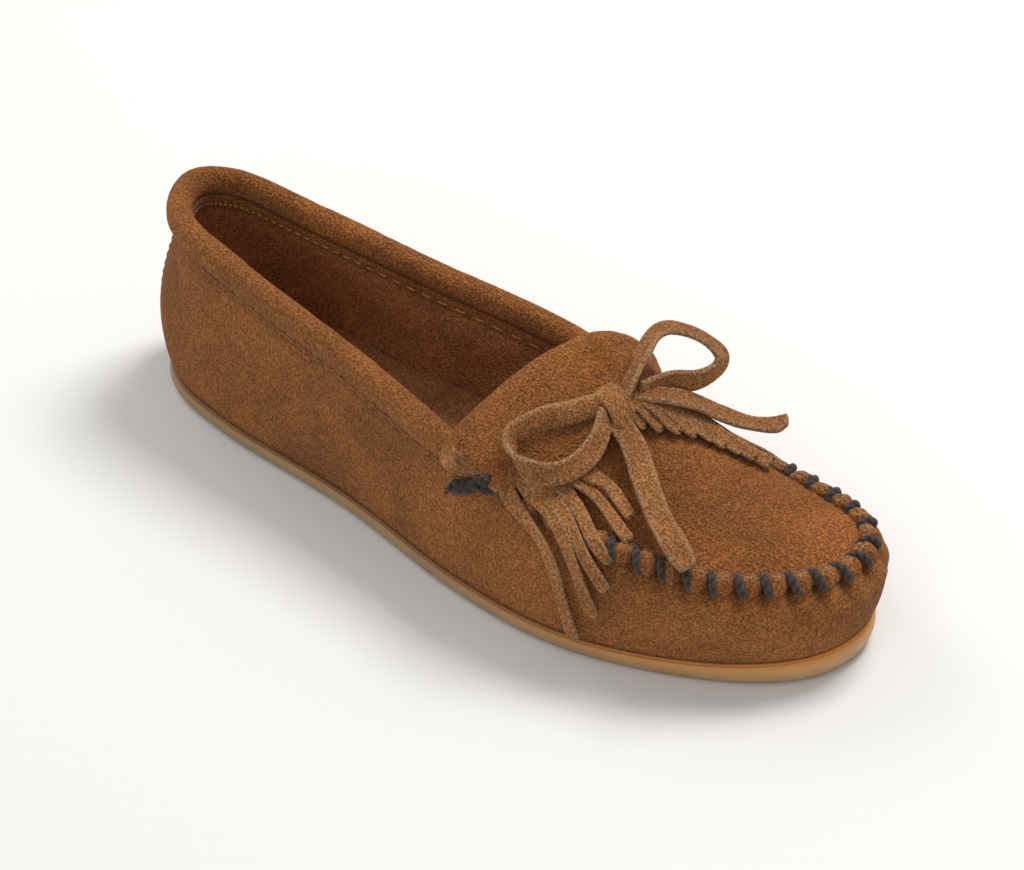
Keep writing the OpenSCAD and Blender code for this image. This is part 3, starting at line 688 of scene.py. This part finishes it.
n, m = 380, len(CUFF)
k = np.linspace(0, 1, n + 1)
rolled = (np.arange(m) > 9) & (np.arange(m) < 24)
swell = 1 + rolled * (0.008 * np.sin(31 * k + 1) * np.sin(83 * k) + 0.004 * np.sin(190 * k + 2))[:, None]
rings = collar_points(k, CUFF[None] * swell[..., None])
raw = np.zeros(rings.shape[:2])
raw[:, [0, 1]] = 0.3
raw[[0, -1]] = 0.6
# Painted shade: the grooves of the two outside seams and of the inside seam, and the dent where the roll
# meets the inside, are painted darker.
dark = np.zeros(rings.shape[:2])
dark[:, [3, 4, 7, 8]] = 0.22
dark[:, [23, 24]] = 0.75
dark[:, 28] = 0.3
# The slit near the outer end, where the lace comes out: an oval pressed in and darkened as painted shade.
away = np.hypot((k[:, None] - 0.990) / 0.008, (CUFF[:, 1] + 2.0) / 3.4)
slit = np.clip(1.6 - away, 0, 1) * (CUFF[:, 0] > 1.5) * (np.arange(m) < 16)
rings = rings - outward(collar_station(k))[:, None] * (slit * 1.2)[..., None]
dark = np.maximum(dark, slit)
cuff = piece("collar_roll", [(rings, False, raw, dark)], brown_suede, "suede", "collar_cuff")
sewn = np.ones(rings.shape[:2], bool)
sewn[2:-2, 10:23] = False
puff(cuff, 4.0, 0.2, -0.01, sewn.ravel())
rounded(cuff)

wadding = Finish("wadding", Roughness=1.0)
fluff = wadding.noise(wadding.place(), 700.0, 4, 0.7)
wadding.set(Base_Color=wadding.mix(fluff, tint(196, 186, 164), tint(232, 226, 210)),
            Normal=wadding.bump(fluff, 0.5 * MM))
dress("collar_padding", wadding)
dress("collar_lace", brown_suede)


def collar_stitches(count, across, height, rise, length):
    """A row of stitches at one place of the roll's section, evenly spaced along it."""
    k = 0.02 + 0.96 * np.arange(count) / count
    spot = np.array([[across, height]])
    ends = [collar_points(share, spot)[:, 0] for share in (k, k + length / count)]
    return stitches(*ends, outward(collar_station(k)) * rise, MACHINE_THREAD)


rows = collar_stitches(84, 1.2, -5.7, 0.4, 0.62) + collar_stitches(84, 1.0, -7.45, 0.4, 0.62)
piece("collar_thread_outer", rows, thread, "stitching", "collar_stitch_outer")
gold_thread = Finish("gold_thread", Roughness=0.7, Specular_IOR_Level=0.3)
# Painted shade and light: the thread is painted dark in the groove between its two plies and light on their
# crowns.
gold_thread.set(Base_Color=gold_thread.mix(gold_thread.twist(9000.0, 12.6) * 0.5 + 0.5, tint(150, 104, 52),
                                           tint(206, 160, 100)))
piece("collar_thread_inner", collar_stitches(76, -4.0, -7.0, -0.4, 0.6), gold_thread, "stitching",
      "collar_stitch_inner")

# ---------------------------------------------------------------- Apron
# The oval top piece over the toes and instep. Its edge is sewn to the wrap's gathers; under the
# throat it carries a second layer of split suede.
CROWN = np.array([[18.0], [10], [5], [2.2], [0]])


def instep(t, w):
    """The top of the foot between the seams at w = -1 and 1: the straight line between the two top
    edges, raised by a crown that falls towards the toe and leans to the inner side."""
    t, w = np.broadcast_arrays(np.asarray(t, float), np.asarray(w, float))
    p = wall(t, 1) + (wall(facing(t), 1) - wall(t, 1)) * ((w + 1) / 2)[..., None]
    crown = np.where(t < 4, CROWN[0, 0] + (4 - t) * 6, smooth_curve(CROWN, np.clip(t - 4, 0, 4))[..., 0])
    lean = 1 + 0.5 * w * np.clip((8 - t) / 4, 0, 1)
    return p + up * (crown * np.clip(1 - w * w, 0, None) ** 0.75 * lean)[..., None]


n, m = 200, 90
t = np.linspace(3.95, 7.84, n)[:, None]
w = 0.985 * np.sin(np.linspace(-np.pi / 2, np.pi / 2, m))[None]
edge_near = ease(np.abs(w), 0.80, 1.0)
ripple = 0.30 * np.sin(5.1 * t + 2 * w) * np.sin(3 * w + 1.4 * t) * (1 - edge_near)
tuck = 0.35 * edge_near * stitched(seam_share(np.where(w < 0, t, facing(t))))
apron_middle = instep(t, w) + up * (ripple - tuck - SUEDE / 2)[..., None]
rings, raw = leaf(apron_middle, SUEDE)
# Painted shade: the apron is painted darker close to its edge, where it dips under the welt.
fold_shade = np.zeros(rings.shape[:2])
fold_shade[:, 1:m + 1] = 0.55 * edge_near ** 3
apron_suede = suede("apron_suede", tint(138, 82, 38), tint(168, 101, 48), tint(206, 166, 126), 1.1)
piece("apron_suede_panel", [(rings, False, 0, fold_shade)], apron_suede, "suede", "apron")
t = np.linspace(4.0, 5.6, 60)[:, None]
w = 0.93 * np.sin(np.linspace(-np.pi / 2, np.pi / 2, 50))[None]
rings, raw = leaf(instep(t, w) - up * (SUEDE + LINING / 2 + 0.1), LINING)
piece("apron_lining_suede", [(rings, False, raw, 0)], lining_suede_painted_lighter, "lining", "apron_lining")

# ---------------------------------------------------------------- Gathered edge
# The wrap's edge stands up around the apron as a puckered welt. Each stitch pinches it, and between
# two stitches it swells into a lump whose cut edge shows pale.
k = np.linspace(0, 1, STITCHES * 22 + 1)
t = seam_station(k)
which = np.round(k * STITCHES)
pinch = stitched(k)
lump = 1.36 - 0.62 * pinch ** 1.6 + 0.26 * (any_share(which) - 0.5) * (1 - pinch)
second = 0.06 * np.sin(2 * np.pi * k * STITCHES * 2.37 + 1) + 0.035 * np.sin(2 * np.pi * k * STITCHES * 4.1)
WELT = np.array([[-1.5, -0.5], [-1.7, 0.5], [-1.5, 1.5], [-1.1, 2.2], [-0.5, 2.6], [0.0, 2.45], [0.5, 2.75],
                 [1.3, 2.6], [2.2, 2.0], [2.9, 1.1], [3.2, 0.0], [3.1, -1.2], [2.0, -1.4], [0.6, -1.0]])
grow = (lump + second) * (0.55 + 0.45 * np.clip(np.minimum(k, 1 - k) * 30, 0, 1))
cross = WELT * grow[:, None, None]
cross = cross + np.stack([0.30 * np.sin(k * 212 + 1), 0.22 * np.sin(k * 167)], -1)[:, None]
rings = wall(t, 1)[:, None] + outward(t)[:, None] * cross[..., :1] + up * cross[..., 1:]
raw = np.zeros(rings.shape[:2])
raw[:, [4, 6]] = (0.95 - 0.6 * pinch)[:, None]
raw[:, [3, 7]] = (0.35 * (1 - pinch))[:, None]
# Painted shade: the welt is painted darker at each stitch where it is pinched in, along the dip in its top,
# and along its foot on both sides.
dark = np.zeros(rings.shape[:2]) + 0.85 * pinch[:, None] ** 2.5
dark[:, 5] += 0.4
dark[:, [0, 1, 12, 13]] += 0.35
welt = piece("gathered_welt", [(rings, False, raw, dark)], brown_suede, "suede", "gathered_edge")
rounded(welt)

# ---------------------------------------------------------------- Whip stitching
# Thick waxed thread, two strands twisted together, passes over the welt from the apron and into the
# wrap; each stitch slants. At the outer throat it ends in a knot with a frayed end.
dark_thread = Finish("charcoal_thread", Roughness=0.85, Specular_IOR_Level=0.2, Sheen_Weight=0.2,
                     Sheen_Tint=(0.8, 0.72, 0.7, 1.0))
twist = dark_thread.twist(3600.0, 12.566)
fibres = dark_thread.noise(dark_thread.place(), 2600.0, 3, 0.7)
# Partly painted shade: a little of the tone follows the twist, darker in the groove between the plies; the
# rest is fibre mottle.
tone = (twist * 0.16 + 0.30 + 1.5 * (fibres - 0.5)).clip()
dark_thread.set(Base_Color=dark_thread.mix(tone, tint(30, 25, 25), tint(98, 86, 82)),
                Normal=dark_thread.bump(twist * 0.4 + fibres * 1.4, 0.35 * MM, 1.0))


def strand(line, radius, sides=10):
    """A round strand along a line: rings across its tangent, with the radius given at each point."""
    d = unit(np.gradient(line, axis=-2))
    side = unit(np.cross(d, np.array([0.21, 0.13, 0.97])))
    high = np.cross(side, d)
    a = 2 * np.pi * np.arange(sides)[:, None] / sides
    turned = side[..., None, :] * np.cos(a) + high[..., None, :] * np.sin(a)
    return line[..., None, :] + np.asarray(radius)[..., None, None] * turned


# The second and third stitches lie hidden under the fringe and would come through it.
i = np.append(1, np.arange(4, STITCHES + 1))[:, None]
a = np.linspace(212, -42, 15)[None]
share = (i - 0.5) / STITCHES
slant = (0.75 + 0.5 * any_share(i + 50)) * 0.22 / STITCHES
t = seam_station(share + slant * (100 - a) / 120)
out = outward(t)
reach_out = 2.65 + 0.35 * any_share(i + 9)
a = np.radians(a)
line = wall(t, 1) + out * (0.9 + reach_out * np.cos(a))[..., None] \
    + up * (-0.5 + 0 * t + np.where(np.sin(a) > 0, 3.0, 2.2) * np.sin(a))[..., None]
thick = (1.12 + 0.15 * (any_share(i + 5) - 0.5)) * (1 + 0.10 * np.sin(7 * a + i))
piece("whip_thread", [(rings, False, 0, 0) for rings in strand(line, thick)], dark_thread,
      "dark_thread", "whip_stitching")

start = wall(np.array(4.28), np.array(0.95)) + outward(np.array(4.28)) * 1.9
u = np.linspace(0, 1, 24)


def twisted(points, radius, turns, spread=0.75):
    """Two strands that wind round a smooth line through the points."""
    line = smooth_curve(points, u * (len(points) - 1))
    d = unit(np.gradient(line, axis=0))
    side = unit(np.cross(d, up))
    high = np.cross(side, d)
    skins = []
    for start_angle in (0, np.pi):
        a = 2 * np.pi * turns * u[:, None] + start_angle
        path = line + (side * np.cos(a) + high * np.sin(a)) * radius * spread
        skins.append((strand(path, radius * (1 + 0.12 * np.sin(40 * u)), 8), False, 0, 0))
    return skins


# The knot: the thread's last run, its thicker end, and the turn around both, from the seam's start
threads = []
for way, radius, turns in (
        (((3.5, 2.6, 2.6), (1.6, -0.9, 2.6), (-0.8, -2.2, 1.4), (-2.8, -2.5, -0.2), (-4.6, -2.2, -2.0)),
         1.15, 3.0),
        (((-3.9, -2.4, -1.4), (-5.8, -2.6, -2.8), (-7.8, -2.8, -3.2), (-9.8, -3.0, -4.6)), 1.3, 2.0),
        (((0.2, 1.0, 2.2), (-1.4, -1.2, 2.2), (-1.6, -2.2, 0.4), (0.4, -2.2, -0.8), (2.2, -1.4, -0.6),
          (4.4, 0.4, -0.8)), 0.8, 3.0)):
    threads += twisted(start + np.array(way), radius, turns)
FRAYED = 16
fan = any_share(np.arange(3 * FRAYED)).reshape(FRAYED, 3) - 0.5
for number in range(FRAYED):
    reach = 2.2 + 2.4 * any_share(number + 3)
    line = (start + np.array([-8.8, -2.9, -4.2]) + fan[number] * 1.5
            + u[:, None] * np.array([-0.8, -0.1, -0.6]) * reach + (u ** 1.6)[:, None] * fan[number] * 2.6)
    threads.append((strand(line, 0.24 * (1 - 0.5 * u), 5), False, 0, 0))
piece("whip_knot_thread", threads, dark_thread, "dark_thread", "whip_knot")

# ---------------------------------------------------------------- Lace under the kiltie
# The suede lace comes out of a slit at each end of the collar and passes under the kiltie to the bow.
LACE_WIDTH, LACE = 6.0, 2.0
lace_suede = suede("lace_suede", tint(142, 92, 52), tint(170, 114, 66), tint(210, 166, 124), 0.85)


def skin(t, w, lift):
    """A point above the upper: |w| up to 1 is the instep, past 1 the side wall below the seam; lift
    turns from straight up to outward over the edge."""
    t, w, lift = np.broadcast_arrays(*(np.asarray(a, float) for a in (t, w, lift)))
    side = np.where(w < 0, t, facing(t))
    p = np.where((np.abs(w) > 1)[..., None], wall(side, np.clip(2 - np.abs(w), 0, 1)),
                 instep(t, np.clip(w, -1, 1)))
    k = ease(np.abs(w), 0.75, 1.25)[..., None]
    return p + unit(outward(side) * k + up * (1 - k)) * lift[..., None]


def thong(route, faces, width, thick, n=60, cup=0.25, taper=0.0, wander=0.0):
    """A flat thong along a smooth curve through the route. Its broad face looks along the blended
    faces; the edges curl by `cup` millimetres, the far end narrows by `taper` and the width wanders by
    `wander`, both as shares of it. Returns a closed skin and its centre line."""
    u = np.linspace(0, len(route) - 1, n)
    line = smooth_curve(route, u)
    d = unit(np.gradient(line, axis=0))
    side = unit(np.cross(d, smooth_curve(np.asarray(faces, float), u)))
    high = np.cross(side, d)
    across = np.linspace(-1, 1, 9)
    share = u / u[-1]
    uneven = 1 + wander * (np.sin(17 * share + width) + 0.6 * np.sin(41 * share))
    breadth = width * (1 - taper * ease(share, 0.9, 1.0)) * uneven
    curl = cup * (across ** 2 - 0.4) + 0.12 * np.sin(23 * share + 3)[:, None] * across
    middle = line[:, None] + side[:, None] * (breadth[:, None] * across / 2)[..., None] \
        + high[:, None] * curl[..., None]
    rings, raw = leaf(middle, thick, True)
    raw[0] = 0.8
    return (rings, False, raw, 0), line


def lace_run(name, node, route):
    """A length of lace lying over the upper at the places t, w and lift of its route."""
    route = np.array(route)
    points = skin(route[:, 0], route[:, 1], route[:, 2])
    faces = skin(route[:, 0], route[:, 1], route[:, 2] + 1) - points
    (rings, closed, raw, _), _ = thong(points, faces, LACE_WIDTH, 1.2)
    depth = np.linspace(0, 1, len(rings))[:, None]
    # Painted shade: the lace is painted dark where it comes out of the slit, and half dark from a quarter of
    # its length on, where it runs under the kiltie.
    dark = np.clip(1.3 - depth / 0.05, 0, 1) + 0.5 * np.clip((depth - 0.25) / 0.15, 0, 1)
    raw = raw * 0.35 * np.clip(depth * 9 - 0.6, 0, 1)
    piece(name, [(rings, closed, raw, np.minimum(dark, 1))], lace_suede, "lace", node)


lace_run("lace_under_outer", "lace_run_lateral",
         [[3.9, -1.02, 1.6], [3.97, -1.05, 4.4], [4.05, -1.05, 5.2], [4.18, -1, 3.6], [4.3, -0.8, 0.75],
          [4.45, -0.4, 0.75], [4.52, -0.15, 0.75]])
lace_run("lace_under_inner", "lace_run_medial",
         [[4.1, 1.04, 4.6], [4.2, 0.96, 2.5], [4.32, 0.75, 0.75], [4.45, 0.4, 0.75], [4.52, 0.12, 0.75]])

# ---------------------------------------------------------------- Kiltie
# One sheet of suede, folded at the throat so that it lies double over the instep. Its front ends are
# slit into fringes, six strips on the outer side and twelve on the inner, that hang over the welt.
KILTIE = 1.3
# Where the flap's front edge lies, as station t for each place w across
FLAP_EDGE = np.array([[-1.06, 4.42], [-0.94, 4.58], [-0.8, 4.8], [-0.6, 4.92], [-0.4, 4.76],
                      [0.3, 4.56], [0.8, 4.6], [1.1, 4.62]])


def flap_lift(t, w):
    """Height of the flap above the instep; near its turn at the throat the inner side stands off further."""
    stand = 7 * np.clip((w - 0.2) / 0.6, 0, 1) - 2.5 * np.clip((w - 0.85) / 0.3, 0, 1)
    return 4.6 + stand * np.clip((4.5 - t) / 0.6, 0, 1)


w = np.linspace(-1.06, 1.1, 130)[:, None]
front = np.interp(w, FLAP_EDGE[:, 0], FLAP_EDGE[:, 1])
top = flap_lift(3.9, w) - KILTIE / 2
low = 1.5 + KILTIE / 2
turn = np.linspace(-np.pi / 2, np.pi / 2, 12)[None]
under_t = np.linspace(4.35, 4.05, 8)[None] + 0 * w
under_lift = low + 0 * under_t
turn_t = 4.05 - 0.15 * np.cos(turn) + 0 * w
turn_lift = (low + top) / 2 + (top - low) / 2 * np.sin(turn)
over = np.linspace(0, 1, 40)[None]
over_t = 4.08 + (front - 4.08) * over
over_lift = flap_lift(over_t, w) - KILTIE / 2 + 0.35 * np.sin(6 * w + 9 * over) * ease(over, 0.1, 0.5)
flap_middle = skin(np.concatenate([under_t, turn_t, over_t], 1), np.broadcast_to(w, (130, 60)),
                   np.concatenate([under_lift, turn_lift, over_lift], 1))
rings, raw = leaf(flap_middle, KILTIE)
raw[[0, -1]] = 1
raw[[1, -2]] = 0.4
flap = piece("kiltie_sheet", [(rings, False, raw, 0)], brown_suede, "suede", "kiltie_flap")

FRINGE_WIDTH = 3.2
INNER_FIRST = 20      # the outer strips are numbered from 0, the inner ones from here
# Root, middle and tip of each strip, as places t, w on the upper
FRINGE_OUTER = np.array([
    [[4.5, -1.02], [4.9, -1.24], [5.12, -1.93]], [[4.6, -0.94], [5, -1.08], [5.26, -1.65]],
    [[4.68, -0.88], [5.05, -1.02], [5.34, -1.36]], [[4.77, -0.81], [5.08, -0.94], [5.34, -1.11]],
    [[4.82, -0.7], [5.09, -0.77], [5.41, -0.93]], [[4.86, -0.6], [5.05, -0.6], [5.3, -0.73]]])
FRINGE_INNER = np.array([
    [[4.56, 0.14], [4.66, 0.18], [4.75, 0.2]],
    [[4.56, 0.26], [4.69, 0.3], [4.82, 0.32]],
    [[4.56, 0.38], [4.73, 0.42], [4.9, 0.44]],
    [[4.57, 0.49], [4.77, 0.55], [4.97, 0.56]],
    [[4.58, 0.58], [4.82, 0.65], [5.06, 0.66]],
    [[4.58, 0.67], [4.87, 0.71], [5.16, 0.69]],
    [[4.59, 0.75], [4.93, 0.78], [5.27, 0.75]],
    [[4.6, 0.82], [5, 0.83], [5.42, 0.76]],
    [[4.6, 0.89], [5.05, 0.88], [5.56, 0.79]],
    [[4.6, 0.96], [5, 0.98], [5.4, 1.02]],
    [[4.58, 1.03], [4.95, 1.24], [5.2, 1.56]],
    [[4.58, 1.1], [4.88, 1.34], [5.05, 1.72]]])


def fringe_strip(places, number):
    """One strip along the smooth curve through its three places, with a slight wave and curl of its own.
    It is widest at the root, and its half width falls to nothing along a quarter circle at the tip."""
    k = np.append(np.linspace(-0.12, 0.93, 28), 1 - 0.07 * np.cos(np.linspace(0.3, np.pi / 2, 7)))
    c = smooth_curve(places, 2 * k)
    c = np.where(k[:, None] < 0, places[0] + (places[1] - places[0]) * 2 * k[:, None], c)
    outer = number < INNER_FIRST
    stacked = 0.1 * (number % 2) if outer else 0.22 * (INNER_FIRST + 9 - number)
    root = flap_lift(*places[0]) - KILTIE / 2 + 0.1 + stacked
    lift = root + (2.5 + 0.9 * any_share(number + 7) - root) * ease(k, 0.4 if outer else 0.05, 1.0)
    lift = lift + 0.5 * np.sin(np.pi * 2 * np.clip(k, 0, 1)) * (any_share(number + 3) - 0.3)
    line = skin(c[:, 0], c[:, 1], lift)
    face = unit(skin(c[:, 0], c[:, 1], lift + 1) - line)
    d = unit(np.gradient(line, axis=0))
    side = unit(np.cross(d, face))
    tip = np.sqrt(np.clip(1 - (np.clip(k - 0.955, 0, None) / 0.048) ** 2, 0.02, 1))
    width = FRINGE_WIDTH * (0.92 + 0.16 * any_share(number + 11)) * tip * (1 + 0.05 * np.sin(14 * k + number))
    width = width + 1.5 * (1 - ease(k, 0.0, 0.35))
    across = np.linspace(-1, 1, 7)
    roll = 0.5 * (any_share(number + 5) - 0.5) * k
    middle = line[:, None] + side[:, None] * (width[:, None] * across / 2)[..., None] \
        + face[:, None] * (across * roll[:, None] + 0.22 * (across ** 2 - 0.4))[..., None]
    rings, raw = leaf(middle, KILTIE, True)
    return rings, False, raw * 0.8 * ease(k, 0.0, 0.2)[:, None], 0


for name, node, rows, first in (("fringe_outer", "fringe_lateral", FRINGE_OUTER, 0),
                                ("fringe_inner", "fringe_medial", FRINGE_INNER, INNER_FIRST)):
    strips = [fringe_strip(row, first + number) for number, row in enumerate(rows)]
    piece(name, strips, lace_suede, "suede", node)

# ---------------------------------------------------------------- Bow
# A flat suede lace, thick and limp, with pale cut edges. Two loops and two tails come out of one
# knot over the middle of the kiltie; the tails end bare.
def lace(name, node, route, faces, width=LACE_WIDTH, taper=0.0):
    """A free end or loop of the lace along its route in metres."""
    part, line = thong(np.array(route) / MM, faces, width, LACE * 0.85, 90, 0.3, taper, 0.03)
    made = piece(name, [part], lace_suede, "lace", node)
    ((line + CENTRE) * MM).tolist()


lace("bow_loop_outer", "lace_loop_lateral",
     [[0.045, -0.01, 0.064], [0.039, -0.021, 0.0645], [0.033, -0.027, 0.063], [0.029, -0.0345, 0.06],
     [0.034, -0.039, 0.057], [0.0415, -0.039, 0.056], [0.047, -0.034, 0.056], [0.0495, -0.0275, 0.058],
     [0.0495, -0.021, 0.061], [0.0465, -0.014, 0.0635]],
     [[-0.7, 0.44, -0.43], [-0.7, 0.45, -0.4], [-0.65, 0.4, -0.4], [-0.54, 0, -0.23],
     [-0.87, -0.46, -0.17], [0, -0.9, 0.3], [0.5, -0.7, 0.45], [0.7, -0.45, 0.43], [0.85, -0.2, 0.4],
     [0.8, 0.1, 0.3]])
lace("bow_loop_inner", "lace_loop_medial",
     [[0.0465, -0.005, 0.0645], [0.0465, -0.001, 0.068], [0.046, 0.0045, 0.0715], [0.044, 0.012, 0.073],
     [0.045, 0.0185, 0.073], [0.05, 0.023, 0.071], [0.055, 0.0255, 0.068], [0.059, 0.026, 0.0645],
     [0.059, 0.023, 0.0615], [0.0565, 0.017, 0.0605], [0.0515, 0.011, 0.0615], [0.0485, 0, 0.063]],
     [[-0.6, -0.6, 0.5], [-0.7, -0.4, 0.6], [-0.7, -0.2, 0.8], [-0.5, 0, 1], [-0.1, 0.2, 1], [0.3, 0.5, 0.9],
      [0.8, 0.6, 0.5], [1, 0.2, 0.2], [0.9, -0.3, -0.1], [0.7, -0.6, 0], [0.5, -0.7, 0.1], [0.4, -0.6, 0.2]])
lace("bow_tail_outer", "lace_tail_lateral",
     [[0.044, -0.008, 0.062], [0.05, -0.012, 0.0605], [0.057, -0.015, 0.0575], [0.065, -0.021, 0.0535],
     [0.074, -0.027, 0.0485], [0.082, -0.031, 0.0455], [0.089, -0.034, 0.042]],
     [[0.2, 0, 1], [0.3, -0.2, 1], [0.3, -0.3, 1], [0.2, -0.3, 1], [0.2, -0.3, 1], [0.3, -0.4, 1],
     [0.4, -0.5, 0.9]],
     6.3, 0.3)
lace("bow_tail_inner", "lace_tail_medial",
     [[0.045, -0.001, 0.0625], [0.049, 0.001, 0.0625], [0.054, 0.006, 0.0605], [0.0585, 0.012, 0.057],
     [0.064, 0.019, 0.0505], [0.07, 0.025, 0.046], [0.076, 0.029, 0.0455], [0.079, 0.031, 0.0475]],
     [[0.1, 0.1, 1], [0.2, 0.1, 1], [0.3, 0.2, 1], [0.4, 0.3, 0.9], [0.4, 0.3, 0.8], [0.2, 0.3, 1],
     [0, 0.1, 1], [-0.4, -0.2, 1]],
     LACE_WIDTH, 0.25)

# The knot is one turn of the lace over a rounded core.
over_knot, _ = thong(np.array([[41.5, -7.5, 60.5], [40.2, -8, 63.5], [42.3, -8.5, 66], [46.5, -9.3, 65.8],
                               [50, -10.3, 63.3], [51.3, -10.5, 60]]),
                     [[-1, 0, 0], [-0.9, 0, 0.5], [-0.3, 0, 1], [0.4, -0.1, 1], [0.9, -0.2, 0.5],
                      [1, 0, -0.2]],
                     LACE_WIDTH + 1, LACE, 60, -0.5)
u = np.linspace(-1, 1, 15)
core = np.array([45.5, -9.2, 62.6]) + u[:, None] * np.array([0.5, 5.5, 0.6])
# Painted shade: the core under the lace's turn is painted a little darker.
body = (strand(core, 2.9 * np.sqrt(1.06 - u ** 2), 14), False, 0, 0.3)
piece("bow_knot_lace", [over_knot, body], lace_suede, "lace", "bow_knot")
